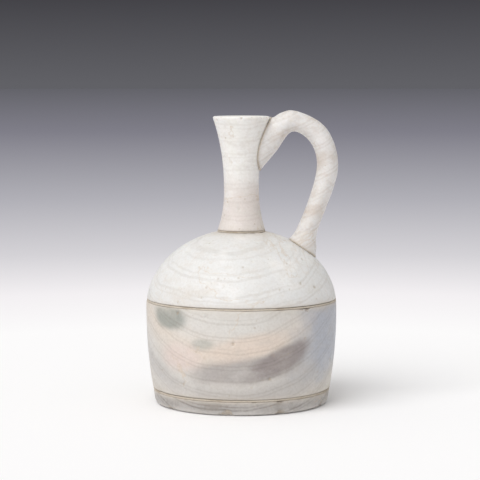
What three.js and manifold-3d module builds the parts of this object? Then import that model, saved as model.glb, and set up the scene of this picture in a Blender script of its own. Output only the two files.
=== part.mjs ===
// A small one-handled jug of banded travertine, in millimetres, +Z up.
// The origin is on the jug's axis, on the flat underside of its foot. The handle is towards +X.
// A wide body can't be hollowed through this narrow mouth, so the jug is carved in five pieces of stone:
// a foot disc, a drum bored right through, a domed shoulder, a flaring neck and a loop handle.
// Each joint is seated in a bed of cement: flat rings between the turned pieces, curved pads under the handle.

import * as THREE from "three";
import { mergeVertices } from "three/addons/utils/BufferGeometryUtils.js";
import Module from "manifold-3d";

const wasm = await Module();
wasm.setup();

// Heights above the ground
const footHeight = 8;
const waistHeight = 54; // where the body is widest
const jointRise = 4; // the joint between drum and shoulder, above the waist
const shoulderRise = 43.2; // from the waist to where the dome would close
const throatHeight = 119; // where the neck is narrowest
const rimHeight = 160;

// Outer radii
const waistRadius = 53.3;
const footTaper = 5.3; // how much narrower the body is on the ground
const neckFootRadius = 13.5;
const throatRadius = 9.8;
const lipRadius = 16;

// Walls and the hollow inside
const wall = 6.5;
const shoulderWall = 6;
const boreRadius = 7;
const mouthRadius = 12.2;
const floorStep = 4; // how far the foot's spigot stands up inside the drum

// Joints
const bed = 0.8; // cement between two turned pieces
const slip = 0.4; // running gap round a spigot
const rebate = 3; // height of the step between drum and shoulder
const neckSpigotRadius = 10;
const neckSpigotLength = 5;
const handleBed = 1.2; // space between the handle and what it is cemented to
const padGap = 0.3; // what the cement pad leaves free of that space on either side
const tenonRadius = 4;
const tenonLength = 4; // in the shoulder
const tenonRise = 5; // in the handle
const tenonEndGap = 0.4;

// Edges
const footEdge = 3; // rounding under the foot
const lipEdge = 1.1; // rounding round the lip
const flare = 2.2; // power of the neck's two flares

// Handle
const handleCrest = 3.2; // how far its top stands above the rim
const handleCrestOut = 28.5; // from the axis to its top
const handleReach = 53.9; // from the axis to its outermost point
const handleBelly = 27.5; // how far below the rim it reaches furthest
const handleThickness = 12;
const handleHalfWidth = 6.6;
const handleRootHalfWidth = 8;
const handleRootTop = 2.5; // how far below the rim its upper root starts
const handleRootDrop = 31; // how far below the rim its upper root ends
const handleFootInset = 19.5; // from the waist radius in to the middle of its lower end
const handleFootSpan = 17; // its lower end, measured along the shoulder
const handleAnkle = 8; // height above its lower end where it has its own thickness again
const handleBury = 6; // how far the uncut handle runs into the neck
const cutMargin = 10; // how far a cutting body runs past what it cuts

const roundSegments = 48;

const banded = new THREE.MeshStandardMaterial({ color: 0xc9c0b2, roughness: 0.42, metalness: 0 });
const pale = new THREE.MeshStandardMaterial({ color: 0xdedad0, roughness: 0.4, metalness: 0 });
const grey = new THREE.MeshStandardMaterial({ color: 0xbab2a8, roughness: 0.5, metalness: 0 });
const cement = new THREE.MeshStandardMaterial({ color: 0xa89a86, roughness: 0.9, metalness: 0 });

const jug = new THREE.Group();

function addPiece(name, geometry, material) {
  const mesh = new THREE.Mesh(geometry, material);
  mesh.name = name;
  jug.add(mesh);
}

// A closed turned solid: outline is a list of [radius, height], going up the outside.
function turned(outline) {
  const points = outline.map(([radius, height]) => new THREE.Vector2(radius, height));
  if (outline[0][0] > 0) points.push(points[0].clone());
  const geometry = new THREE.LatheGeometry(points, roundSegments);
  return geometry.rotateX(Math.PI / 2);
}

function ring(innerRadius, outerRadius, bottom, top) {
  return turned([[innerRadius, bottom], [outerRadius, bottom], [outerRadius, top], [innerRadius, top]]);
}

// count + 1 points [radiusAt(height), height] from one height to another.
function stretch(radiusAt, fromHeight, toHeight, count) {
  return Array.from({ length: count + 1 }, (_, i) => {
    const height = THREE.MathUtils.lerp(fromHeight, toHeight, i / count);
    return [radiusAt(height), height];
  });
}

function toSolid(geometry) {
  const bare = geometry.clone();
  bare.deleteAttribute("normal");
  bare.deleteAttribute("uv");
  const merged = mergeVertices(bare, 1e-3);
  return new wasm.Manifold(
    new wasm.Mesh({
      numProp: 3,
      vertProperties: merged.attributes.position.array,
      triVerts: new Uint32Array(merged.index.array),
    })
  );
}

function toGeometry(solid) {
  const { vertProperties, triVerts } = solid.getMesh();
  const geometry = new THREE.BufferGeometry();
  geometry.setAttribute("position", new THREE.BufferAttribute(vertProperties, 3));
  geometry.setIndex(new THREE.BufferAttribute(triVerts, 1));
  geometry.computeVertexNormals();
  return geometry;
}

// The body's outside: below the waist an ellipse that meets the foot's radius on the ground, above it a dome.
const footRadius = waistRadius - footTaper;
const drumSemiHeight = waistHeight / Math.sqrt(1 - (footRadius / waistRadius) ** 2);
function bodyRadius(height) {
  const semiHeight = height < waistHeight ? drumSemiHeight : shoulderRise;
  return waistRadius * Math.sqrt(1 - ((height - waistHeight) / semiHeight) ** 2);
}

function shoulderHeight(radius) {
  return waistHeight + shoulderRise * Math.sqrt(1 - (radius / waistRadius) ** 2);
}

// The hollow follows the outside, a wall's thickness in.
const hollowRadius = waistRadius - wall;
const hollowRise = shoulderRise - shoulderWall;
function hollowRadiusAt(height) {
  if (height < waistHeight) return bodyRadius(height) - wall;
  return hollowRadius * Math.sqrt(1 - ((height - waistHeight) / hollowRise) ** 2);
}

// The neck flares both ways from its throat.
const neckSeat = shoulderHeight(neckFootRadius);
const neckBottom = neckSeat + bed;
function neckRadius(height) {
  if (height < throatHeight) {
    const down = (throatHeight - height) / (throatHeight - neckBottom);
    return throatRadius + (neckFootRadius - throatRadius) * down ** flare;
  }
  const up = (height - throatHeight) / (rimHeight - lipEdge - throatHeight);
  return throatRadius + (lipRadius - throatRadius) * up ** flare;
}

function mouthHollowRadius(height) {
  const up = Math.max(0, height - throatHeight) / (rimHeight - throatHeight);
  return boreRadius + (mouthRadius - boreRadius) * up ** 2;
}

// The foot: a disc with a rounded lower edge and a spigot that fills the bottom of the drum's bore.
const drumBottom = footHeight + bed;
const footSpigotRadius = hollowRadiusAt(drumBottom) - slip;
function footDisc() {
  const steps = 5;
  const edge = Array.from({ length: steps + 1 }, (_, i) => {
    const turn = (i / steps) * (Math.PI / 2);
    const radius = bodyRadius(footEdge) - footEdge + footEdge * Math.sin(turn);
    return [radius, footEdge - footEdge * Math.cos(turn)];
  });
  return turned([
    [0, 0],
    ...edge,
    [bodyRadius(footHeight), footHeight],
    [footSpigotRadius, footHeight],
    [footSpigotRadius, footHeight + floorStep],
    [0, footHeight + floorStep],
  ]);
}

// The drum: its top is stepped, higher inside, to centre the shoulder.
const jointHeight = waistHeight + jointRise;
const drumTop = jointHeight - bed / 2;
const shoulderBottom = jointHeight + bed / 2;
const stepRadius = bodyRadius(jointHeight) - wall / 2;
function drum() {
  return turned([
    ...stretch(bodyRadius, drumBottom, drumTop, 10),
    [stepRadius, drumTop],
    [stepRadius, drumTop + rebate],
    [hollowRadiusAt(drumTop + rebate), drumTop + rebate],
    ...stretch(hollowRadiusAt, drumTop, drumBottom, 6),
  ]);
}

// count + 1 points of a dome above the waist, from one angle above the level to another.
function domeArc(radius, rise, fromAngle, toAngle, count) {
  return Array.from({ length: count + 1 }, (_, i) => {
    const angle = THREE.MathUtils.lerp(fromAngle, toAngle, i / count);
    return [radius * Math.cos(angle), waistHeight + rise * Math.sin(angle)];
  });
}

// The shoulder: a dome with a step that drops over the drum's, a flat seat for the neck and a socket in it.
const socketRadius = neckSpigotRadius + slip;
function shoulderGeometry() {
  const stepTop = shoulderBottom + rebate + slip;
  const startAngle = Math.asin((shoulderBottom - waistHeight) / shoulderRise);
  const seatAngle = Math.acos(neckFootRadius / waistRadius);
  const socketAngle = Math.acos(socketRadius / hollowRadius);
  const stepAngle = Math.asin((stepTop - waistHeight) / hollowRise);
  return turned([
    ...domeArc(waistRadius, shoulderRise, startAngle, seatAngle, 13),
    [socketRadius, neckSeat],
    ...domeArc(hollowRadius, hollowRise, socketAngle, stepAngle, 9),
    [stepRadius + slip, stepTop],
    [stepRadius + slip, shoulderBottom],
  ]);
}

// The neck: a spigot below, the flaring tube, and a lip with a flat top.
function neck() {
  const steps = 4;
  const lip = Array.from({ length: steps }, (_, i) => {
    const turn = ((i + 1) / steps) * (Math.PI / 2);
    return [lipRadius - lipEdge + lipEdge * Math.cos(turn), rimHeight - lipEdge + lipEdge * Math.sin(turn)];
  });
  return turned([
    [boreRadius, neckBottom - neckSpigotLength],
    [neckSpigotRadius, neckBottom - neckSpigotLength],
    [neckSpigotRadius, neckBottom],
    ...stretch(neckRadius, neckBottom, rimHeight - lipEdge, 14),
    ...lip,
    ...stretch(mouthHollowRadius, rimHeight, throatHeight, 6),
  ]);
}

// Points [x, z] of the handle in the XZ plane.
const handleFootRadius = waistRadius - handleFootInset;
const footOnShoulder = shoulderHeight(handleFootRadius);
const crest = [handleCrestOut, rimHeight + handleCrest];
const belly = [handleReach, rimHeight - handleBelly];
const innerCrest = [crest[0], crest[1] - handleThickness];
const innerBelly = [belly[0] - handleThickness, belly[1]];
const lipPoint = [lipRadius, rimHeight - handleRootTop / 2];
const rootPoint = [throatRadius, rimHeight - handleRootDrop];

function between(a, b, share) {
  return a.map((value, i) => THREE.MathUtils.lerp(value, b[i], share));
}

// Halfway out along a parabola that climbs from start and lies level at top.
function archPoint(start, top) {
  return [(start[0] + top[0]) / 2, top[1] - (top[1] - start[1]) / 4];
}

// The middle of the quarter ellipse that leaves top level and arrives at side upright.
function quarterBend(top, side) {
  return [top[0] + (side[0] - top[0]) * Math.SQRT1_2, side[1] + (top[1] - side[1]) * Math.SQRT1_2];
}

// A point on the handle's leg: rise above the middle of its lower end, and aside from the leg's middle line.
function legPoint(rise, aside) {
  const [topX, topZ] = between(belly, innerBelly, 0.5);
  const up = new THREE.Vector2(topX - handleFootRadius, topZ - footOnShoulder).normalize();
  return [handleFootRadius + up.x * rise + up.y * aside, footOnShoulder + up.y * rise - up.x * aside];
}

// The handle's back and inner edges, from inside the neck, over the crest, to inside the shoulder.
const backEdge = [
  [throatRadius - handleBury, rimHeight - handleRootTop],
  lipPoint,
  archPoint(lipPoint, crest),
  crest,
  quarterBend(crest, belly),
  belly,
  legPoint(handleAnkle, handleThickness / 2),
  legPoint(0, handleFootSpan / 2),
  legPoint(-2 * handleBury, handleFootSpan / 2),
];
const innerEdge = [
  [throatRadius - handleBury, rimHeight - handleRootDrop - handleBury],
  rootPoint,
  between(rootPoint, innerCrest, 0.5),
  innerCrest,
  quarterBend(innerCrest, innerBelly),
  innerBelly,
  legPoint(handleAnkle, -handleThickness / 2),
  legPoint(0, -handleFootSpan / 2),
  legPoint(-2 * handleBury, -handleFootSpan / 2),
];

function edgeCurve(points) {
  return new THREE.CatmullRomCurve3(points.map(([x, z]) => new THREE.Vector3(x, 0, z)), false, "centripetal");
}

// The handle before it is cut: ovals between the two edges, wider at both roots.
function handleBlank() {
  const stations = 34;
  const around = 14;
  const back = edgeCurve(backEdge);
  const inner = edgeCurve(innerEdge);
  const positions = [];
  const indices = [];
  for (let i = 0; i <= stations; i++) {
    const t = i / stations;
    const outerPoint = back.getPoint(t);
    const innerPoint = inner.getPoint(t);
    const centre = outerPoint.clone().add(innerPoint).multiplyScalar(0.5);
    const reach = outerPoint.clone().sub(centre);
    const nearRoot = Math.abs(2 * t - 1) ** 4;
    const halfWidth = THREE.MathUtils.lerp(handleHalfWidth, handleRootHalfWidth, nearRoot);
    for (let j = 0; j < around; j++) {
      const angle = (j / around) * 2 * Math.PI;
      const point = centre.clone().addScaledVector(reach, Math.cos(angle));
      positions.push(point.x, halfWidth * Math.sin(angle), point.z);
    }
  }
  for (let i = 0; i < stations; i++) {
    for (let j = 0; j < around; j++) {
      const a = i * around + j;
      const b = i * around + ((j + 1) % around);
      indices.push(a, a + around, b, b, a + around, b + around);
    }
  }
  const last = stations * around;
  for (let j = 1; j < around - 1; j++) {
    indices.push(0, j, j + 1);
    indices.push(last, last + j + 1, last + j);
  }
  const geometry = new THREE.BufferGeometry();
  geometry.setAttribute("position", new THREE.Float32BufferAttribute(positions, 3));
  geometry.setIndex(indices);
  return toSolid(geometry);
}

// Solids that hold the neck or the shoulder, larger than it by grow all round.
function neckCore(grow) {
  const top = rimHeight + handleCrest + cutMargin;
  const bottom = rimHeight - handleRootDrop - handleBury - cutMargin;
  return toSolid(
    turned([
      [0, bottom],
      ...stretch((height) => neckRadius(height) + grow, bottom, rimHeight - lipEdge, 18),
      [lipRadius + grow, top],
      [0, top],
    ])
  );
}

function shoulderCore(grow) {
  const arc = domeArc(waistRadius + grow, shoulderRise + grow, 0, Math.PI / 2, 24);
  arc[arc.length - 1][0] = 0;
  return toSolid(turned([[0, waistHeight], ...arc]));
}

// A cylinder through the handle's foot, square to the shoulder, from above the surface down to a depth.
function tenonPin(radius, rise, depth) {
  const normal = new THREE.Vector3(
    handleFootRadius / waistRadius ** 2,
    0,
    (footOnShoulder - waistHeight) / shoulderRise ** 2
  ).normalize();
  const pin = new THREE.CylinderGeometry(radius, radius, rise + depth, 24);
  const centre = new THREE.Vector3(handleFootRadius, 0, footOnShoulder);
  centre.addScaledVector(normal, (rise - depth) / 2);
  const turn = new THREE.Quaternion().setFromUnitVectors(new THREE.Vector3(0, 1, 0), normal);
  pin.applyQuaternion(turn);
  pin.translate(centre.x, centre.y, centre.z);
  return toSolid(pin);
}

// Only the side of the neck that the handle is on carries cement.
function sideTowardsHandle(solid) {
  const box = new THREE.BoxGeometry(handleReach, 4 * handleRootHalfWidth, 2 * rimHeight);
  box.translate(handleReach / 2 + padGap, 0, rimHeight);
  return solid.intersect(toSolid(box));
}

const blank = handleBlank();
const tenonHole = tenonPin(tenonRadius + slip, handleBed, tenonLength + tenonEndGap);
const shoulder = toSolid(shoulderGeometry()).subtract(tenonHole);
const handle = blank
  .subtract(neckCore(handleBed))
  .subtract(shoulderCore(handleBed))
  .add(tenonPin(tenonRadius, tenonRise, tenonLength));
const upperPad = blank.intersect(neckCore(handleBed - padGap)).subtract(neckCore(padGap));
const lowerPad = blank
  .intersect(shoulderCore(handleBed - padGap))
  .subtract(shoulderCore(padGap))
  .subtract(tenonHole);

addPiece("foot_disc", footDisc(), grey);
addPiece("foot_cement", ring(footSpigotRadius + slip, bodyRadius(footHeight), footHeight, drumBottom), cement);
addPiece("drum", drum(), banded);
addPiece("waist_cement", ring(stepRadius + slip, bodyRadius(shoulderBottom), drumTop, shoulderBottom), cement);
addPiece("shoulder", toGeometry(shoulder), pale);
addPiece("neck_cement", ring(socketRadius, neckFootRadius, neckSeat, neckBottom), cement);
addPiece("neck", neck(), pale);
addPiece("handle", toGeometry(handle), pale);
addPiece("handle_upper_cement", toGeometry(sideTowardsHandle(upperPad)), cement);
addPiece("handle_lower_cement", toGeometry(lowerPad), cement);

export default jug;
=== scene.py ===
# A small one-handled jug of banded travertine on a pale studio floor.
# Metres, +Z up, the origin under the middle of the foot and the handle towards +X.
import math

import bpy
import numpy as np
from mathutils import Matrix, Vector


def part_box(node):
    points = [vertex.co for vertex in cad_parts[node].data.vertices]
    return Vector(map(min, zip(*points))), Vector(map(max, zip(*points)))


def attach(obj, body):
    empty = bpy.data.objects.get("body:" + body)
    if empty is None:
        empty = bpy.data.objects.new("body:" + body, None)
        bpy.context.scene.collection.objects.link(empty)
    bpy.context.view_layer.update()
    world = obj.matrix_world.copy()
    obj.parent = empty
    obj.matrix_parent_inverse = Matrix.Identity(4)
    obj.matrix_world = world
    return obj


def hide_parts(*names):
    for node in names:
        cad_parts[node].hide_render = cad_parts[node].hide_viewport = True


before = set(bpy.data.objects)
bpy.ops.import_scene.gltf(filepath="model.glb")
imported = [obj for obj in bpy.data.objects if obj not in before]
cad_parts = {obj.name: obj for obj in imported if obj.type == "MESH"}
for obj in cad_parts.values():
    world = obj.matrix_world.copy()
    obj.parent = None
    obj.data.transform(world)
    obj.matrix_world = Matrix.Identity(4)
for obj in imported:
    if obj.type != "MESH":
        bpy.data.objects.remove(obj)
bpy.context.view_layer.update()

millimetre = 0.001
print("frame loaded with", len(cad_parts), "nodes")

# Heights of the joints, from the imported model
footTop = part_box("foot_cement")[0].z
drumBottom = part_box("foot_cement")[1].z
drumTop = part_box("waist_cement")[0].z
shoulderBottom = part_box("waist_cement")[1].z
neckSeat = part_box("neck_cement")[0].z
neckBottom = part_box("neck_cement")[1].z
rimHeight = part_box("neck")[1].z
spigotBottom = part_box("neck")[0].z

# The jug's body, as it is cut in the solids
bodyShape = {
    "waistHeight": 0.054,
    "waistRadius": 0.0533,
    "footTaper": 0.0053,
    "shoulderRise": 0.0432,
    "hollowRise": 0.0372,
    "wall": 0.0065,
    "footEdge": 0.003,
    "floorStep": 0.004,
    "slip": 0.0004,
    "rebate": 0.003,
}

neckShape = {
    "throatHeight": 0.119,
    "footRadius": 0.0135,
    "throatRadius": 0.0098,
    "lipRadius": 0.016,
    "lipEdge": 0.0011,
    "boreRadius": 0.007,
    "mouthRadius": 0.0122,
    "spigotRadius": 0.010,
    "flare": 2.2,
}


# Below the waist the body is an ellipse that is narrower on the ground, above it a flatter ellipse.
def bodyRadius(height):
    shape = bodyShape
    footShare = 1 - shape["footTaper"] / shape["waistRadius"]
    drumHeight = shape["waistHeight"] / math.sqrt(1 - footShare**2)
    rise = np.asarray(height) - shape["waistHeight"]
    semiHeight = np.where(rise < 0, drumHeight, shape["shoulderRise"])
    return shape["waistRadius"] * np.sqrt(np.clip(1 - (rise / semiHeight) ** 2, 0, 1))


def hollowRadius(height):
    shape = bodyShape
    rise = np.asarray(height) - shape["waistHeight"]
    dome = np.sqrt(np.clip(1 - (np.clip(rise, 0, None) / shape["hollowRise"]) ** 2, 0, 1))
    inDome = (shape["waistRadius"] - shape["wall"]) * dome
    return np.where(rise < 0, bodyRadius(height) - shape["wall"], inDome)


# Height of the shoulder's surface over a radius, grown outwards by an offset.
def shoulderHeight(radius, offset=0.0):
    shape = bodyShape
    share = np.asarray(radius) / (shape["waistRadius"] + offset)
    return shape["waistHeight"] + (shape["shoulderRise"] + offset) * np.sqrt(np.clip(1 - share**2, 0, 1))


# The neck flares as a power of the distance from its throat, both ways.
def neckRadius(height):
    shape = neckShape
    height = np.asarray(height, float)
    down = np.clip((shape["throatHeight"] - height) / (shape["throatHeight"] - neckBottom), 0, None)
    top = rimHeight - shape["lipEdge"]
    up = np.clip((height - shape["throatHeight"]) / (top - shape["throatHeight"]), 0, 1)
    below = (shape["footRadius"] - shape["throatRadius"]) * down ** shape["flare"]
    above = (shape["lipRadius"] - shape["throatRadius"]) * up ** shape["flare"]
    return shape["throatRadius"] + below + above


def mouthRadius(height):
    shape = neckShape
    up = np.clip((np.asarray(height) - shape["throatHeight"]) / (rimHeight - shape["throatHeight"]), 0, 1)
    return shape["boreRadius"] + (shape["mouthRadius"] - shape["boreRadius"]) * up**2


# A smooth random field: a sum of sine waves in random directions, each about one wavelength long.
def ripple(points, wavelength, seed, waves=16):
    chance = np.random.default_rng(seed)
    direction = chance.normal(size=(waves, 3))
    direction /= np.linalg.norm(direction, axis=1, keepdims=True)
    turns = direction / (wavelength * chance.uniform(0.7, 1.4, (waves, 1)))
    phase = chance.uniform(0, 2 * math.pi, waves)
    return np.sin(2 * math.pi * (points @ turns.T) + phase).sum(axis=-1) / math.sqrt(waves)


# Points added along an outline, so that none lie further apart than step. The corners stay.
def densify(outline, step, closed):
    points = np.asarray(outline, float)
    if closed:
        points = np.vstack([points, points[:1]])
    length = np.concatenate([[0], np.cumsum(np.linalg.norm(np.diff(points, axis=0), axis=1))])
    count = max(8, int(round(length[-1] / step)))
    places = np.union1d(np.linspace(0, length[-1], count + 1), length)
    places = places[np.concatenate([[True], np.diff(places) > step * 0.2])]
    if closed and length[-1] - places[-1] < step * 0.5:
        places = places[:-1]
    return np.stack([np.interp(places, length, points[:, k]) for k in (0, 1)], axis=1)


# Each point of a closed outline moves to the mean of itself and its neighbours, which rounds its corners.
def softened(outline, times):
    for _ in range(times):
        outline = 0.5 * outline + 0.25 * (np.roll(outline, 1, axis=0) + np.roll(outline, -1, axis=0))
    return outline


# A mesh from a grid of points, rows along the outline and columns round it. Its ends join in a loop, or each
# is closed by a pole. The faces are turned round if the volume inside them comes out negative.
def gridPiece(name, grid, fields, poles=None):
    rows, around = grid.shape[:2]
    points = grid.reshape(-1, 3)
    index = np.arange(rows * around).reshape(rows, around)
    beside = np.roll(index, -1, axis=1)
    if poles is None:
        quads = np.stack([index, beside, np.roll(beside, -1, axis=0), np.roll(index, -1, axis=0)], axis=-1)
        faces = quads.reshape(-1, 4).tolist()
    else:
        quads = np.stack([index[:-1], beside[:-1], beside[1:], index[1:]], axis=-1)
        first, last = len(points), len(points) + 1
        startFan = np.stack([np.full(around, first), beside[0], index[0]], axis=-1)
        endFan = np.stack([index[-1], beside[-1], np.full(around, last)], axis=-1)
        faces = quads.reshape(-1, 4).tolist() + startFan.tolist() + endFan.tolist()
        points = np.vstack([points, np.asarray(poles, float)])
        for key, value in fields.items():
            fields[key] = np.append(value.ravel(), [value[0].mean(), value[-1].mean()])
    corner = quads.reshape(-1, 4)
    p = points[corner]
    volume = np.einsum("ij,ij->i", p[:, 0], np.cross(p[:, 1], p[:, 2])).sum()
    volume += np.einsum("ij,ij->i", p[:, 0], np.cross(p[:, 2], p[:, 3])).sum()
    if volume < 0:
        faces = [face[::-1] for face in faces]
    mesh = bpy.data.meshes.new(name)
    mesh.from_pydata(points.tolist(), [], faces)
    mesh.polygons.foreach_set("use_smooth", np.ones(len(faces), bool))
    for key, value in fields.items():
        attribute = mesh.attributes.new(key, "FLOAT", "POINT")
        attribute.data.foreach_set("value", np.ascontiguousarray(value, dtype=np.float32).ravel())
    mesh.update()
    piece = bpy.data.objects.new(name, mesh)
    bpy.context.scene.collection.objects.link(piece)
    print("made", name, "with", len(faces), "faces")
    return piece


def smoothStep(low, high, value):
    share = np.clip((value - low) / (high - low), 0, 1)
    return share * share * (3 - 2 * share)


# How deep age and the maker's tools have sunk a surface, always inwards: a slow waver, small tool facets,
# turning rings, scattered pits and chips along the edges. Each chip or pit is a bowl, deepest in its middle.
def wornDepth(points, outside, edgeness, wear):
    seed = wear["seed"]
    waver = 0.5 + 0.35 * ripple(points, wear["waverSize"], seed)
    facets = 0.5 + 0.35 * ripple(points, wear["facetSize"], seed + 1)
    phase = points[..., 2] / wear["ringSpacing"] + 0.5 * ripple(points, 0.03, seed + 2)
    rings = 0.5 + 0.5 * np.sin(2 * math.pi * phase)
    depth = wear["waver"] * np.clip(waver, 0, 1) + wear["facets"] * np.clip(facets, 0, 1)
    depth = (depth + wear["rings"] * rings) * outside
    chance = np.random.default_rng(seed + 3)
    choice = np.flatnonzero((outside > 0.9).ravel())
    flat = points.reshape(-1, 3)
    rough = 1 + 0.5 * ripple(points, 0.0012, seed + 4, 10)
    for _ in range(wear["pits"]):
        middle = flat[chance.choice(choice)]
        size = chance.uniform(*wear["pitSize"])
        apart = np.linalg.norm(points - middle, axis=-1) / size
        depth += outside * size * wear["pitDepth"] * np.clip(1 - apart**2, 0, None) * rough
    along = np.flatnonzero(((edgeness > 0.75) & (outside > 0.5)).ravel())
    for _ in range(wear["chips"] if len(along) else 0):
        middle = flat[chance.choice(along)]
        size = chance.uniform(*wear["chipSize"])
        apart = np.linalg.norm(points - middle, axis=-1) / size
        depth += size * wear["chipDepth"] * np.clip(1 - apart**2, 0, None) * rough * outside
    return np.clip(depth, 0, wear["deepest"])


# Each radius and height as a ring of points round the axis.
def carriedRound(radius, height, angle):
    level = np.outer(height, np.ones_like(angle))
    return np.stack([np.outer(radius, np.cos(angle)), np.outer(radius, np.sin(angle)), level], axis=-1)


# A turned piece: each point of a closed outline (radius, height) is carried round the axis as
# x = r cos(a), y = r sin(a), z = h, after its worn depth has moved it back along the outline's own normal.
def turnedPiece(name, outline, outerAt, edges, joints, wear, onAxis=False):
    line = densify(outline, wear["step"], closed=not onAxis)
    if onAxis:
        line[1:-1] = softened(line, wear["soften"])[1:-1]
        line = line[1:-1]
    else:
        line = softened(line, wear["soften"])
    slope = np.gradient(line, axis=0) if onAxis else np.roll(line, -1, axis=0) - np.roll(line, 1, axis=0)
    normal = np.stack([slope[:, 1], -slope[:, 0]], axis=1)
    normal /= np.linalg.norm(normal, axis=1, keepdims=True)
    angle = np.linspace(0, 2 * math.pi, wear["around"], endpoint=False)
    level = np.ones_like(angle)
    points = carriedRound(line[:, 0], line[:, 1], angle)
    under = outerAt(line[:, 1]) - line[:, 0]
    outside = np.outer(1 - smoothStep(0.0008, 0.0022, under), level)
    edgeGap = np.min([np.hypot(line[:, 0] - r, line[:, 1] - z) for r, z in edges], axis=0)
    edgeness = np.outer(np.exp(-((edgeGap / wear["edgeWidth"]) ** 2)), level)
    jointGap = np.min([np.abs(line[:, 1] - z) for z in joints], axis=0)
    soil = np.outer(np.exp(-jointGap / wear["soilWidth"]), level)
    sunk = wornDepth(points, outside, edgeness, wear)
    radius = line[:, :1] - sunk * normal[:, :1]
    height = line[:, 1:] - sunk * normal[:, 1:]
    grid = np.stack([radius * np.cos(angle), radius * np.sin(angle), height], axis=-1)
    fields = {"edgeness": edgeness, "soil": soil, "sunk": sunk / wear["deepest"]}
    poles = None
    if onAxis:
        poles = [(0, 0, outline[0][1]), (0, 0, outline[-1][1])]
    return gridPiece(name, grid, fields, poles)


def upThrough(radiusAt, fromHeight, toHeight, count):
    height = np.linspace(fromHeight, toHeight, count)
    return list(zip(radiusAt(height), height))


print("shaping the stone")

footWear = {
    "seed": 11, "step": 0.0006, "soften": 2, "around": 400,
    "waver": 0.00016, "waverSize": 0.045, "facets": 0.00008, "facetSize": 0.007,
    "rings": 0.00002, "ringSpacing": 0.0014,
    "pits": 26, "pitSize": (0.0006, 0.0016), "pitDepth": 0.30,
    "chips": 16, "chipSize": (0.0012, 0.0036), "chipDepth": 0.22,
    "edgeWidth": 0.0014, "soilWidth": 0.0016, "deepest": 0.0009,
}


def makeFoot():
    edge = bodyShape["footEdge"]
    edgeRadius = float(bodyRadius(edge))
    turn = np.linspace(0, math.pi / 2, 9)
    rounding = list(zip(edgeRadius - edge + edge * np.sin(turn), edge - edge * np.cos(turn)))
    spigot = float(hollowRadius(drumBottom)) - bodyShape["slip"]
    floorHeight = footTop + bodyShape["floorStep"]
    top = float(bodyRadius(footTop))
    outline = [(0, 0), *rounding, (top, footTop), (spigot, footTop), (spigot, floorHeight), (0, floorHeight)]
    edges = [(top, footTop), (edgeRadius - edge * 0.2, edge * 0.35)]
    return turnedPiece("foot_stone", outline, bodyRadius, edges, [footTop], footWear, onAxis=True)


drumWear = {
    "seed": 23, "step": 0.0008, "soften": 2, "around": 440,
    "waver": 0.00022, "waverSize": 0.05, "facets": 0.00007, "facetSize": 0.009,
    "rings": 0.00002, "ringSpacing": 0.0017,
    "pits": 70, "pitSize": (0.0007, 0.0017), "pitDepth": 0.28,
    "chips": 14, "chipSize": (0.001, 0.0024), "chipDepth": 0.20,
    "edgeWidth": 0.0012, "soilWidth": 0.0018, "deepest": 0.0008,
}


def makeDrum():
    stepRadius = float(bodyRadius(drumTop)) - bodyShape["wall"] / 2
    stepTop = drumTop + bodyShape["rebate"]
    outline = [
        *upThrough(bodyRadius, drumBottom, drumTop, 40),
        (stepRadius, drumTop),
        (stepRadius, stepTop),
        (float(hollowRadius(stepTop)), stepTop),
        *upThrough(hollowRadius, drumTop, drumBottom, 20),
    ]
    edges = [(float(bodyRadius(drumBottom)), drumBottom), (float(bodyRadius(drumTop)), drumTop)]
    return turnedPiece("drum_stone", outline, bodyRadius, edges, [drumBottom, drumTop], drumWear)


shoulderWear = {
    "seed": 37, "step": 0.0008, "soften": 2, "around": 440,
    "waver": 0.00020, "waverSize": 0.045, "facets": 0.00007, "facetSize": 0.008,
    "rings": 0.00002, "ringSpacing": 0.0016,
    "pits": 46, "pitSize": (0.0006, 0.0014), "pitDepth": 0.26,
    "chips": 10, "chipSize": (0.0009, 0.0022), "chipDepth": 0.18,
    "edgeWidth": 0.0012, "soilWidth": 0.0016, "deepest": 0.0007,
}


def domePoints(radius, rise, angles):
    return list(zip(radius * np.cos(angles), bodyShape["waistHeight"] + rise * np.sin(angles)))


def makeShoulder():
    shape = bodyShape
    hollow = shape["waistRadius"] - shape["wall"]
    stepRadius = float(bodyRadius(shoulderBottom)) - shape["wall"] / 2 + shape["slip"]
    stepTop = shoulderBottom + shape["rebate"] + shape["slip"]
    socket = neckShape["spigotRadius"] + shape["slip"]
    startAngle = math.asin((shoulderBottom - shape["waistHeight"]) / shape["shoulderRise"])
    outer = np.linspace(startAngle, math.acos(neckShape["footRadius"] / shape["waistRadius"]), 48)
    inner = np.linspace(
        math.acos(socket / hollow), math.asin((stepTop - shape["waistHeight"]) / shape["hollowRise"]), 24
    )
    outline = [
        *domePoints(shape["waistRadius"], shape["shoulderRise"], outer),
        (socket, neckSeat),
        *domePoints(hollow, shape["hollowRise"], inner),
        (stepRadius, stepTop),
        (stepRadius, shoulderBottom),
    ]
    edges = [(float(bodyRadius(shoulderBottom)), shoulderBottom), (neckShape["footRadius"], neckSeat)]
    return turnedPiece(
        "shoulder_stone", outline, bodyRadius, edges, [shoulderBottom, neckSeat], shoulderWear
    )


neckWear = {
    "seed": 41, "step": 0.00055, "soften": 2, "around": 200,
    "waver": 0.00014, "waverSize": 0.03, "facets": 0.00005, "facetSize": 0.006,
    "rings": 0.00002, "ringSpacing": 0.0013,
    "pits": 18, "pitSize": (0.0005, 0.0010), "pitDepth": 0.26,
    "chips": 9, "chipSize": (0.0008, 0.0019), "chipDepth": 0.22,
    "edgeWidth": 0.0010, "soilWidth": 0.0014, "deepest": 0.0006,
}


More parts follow.
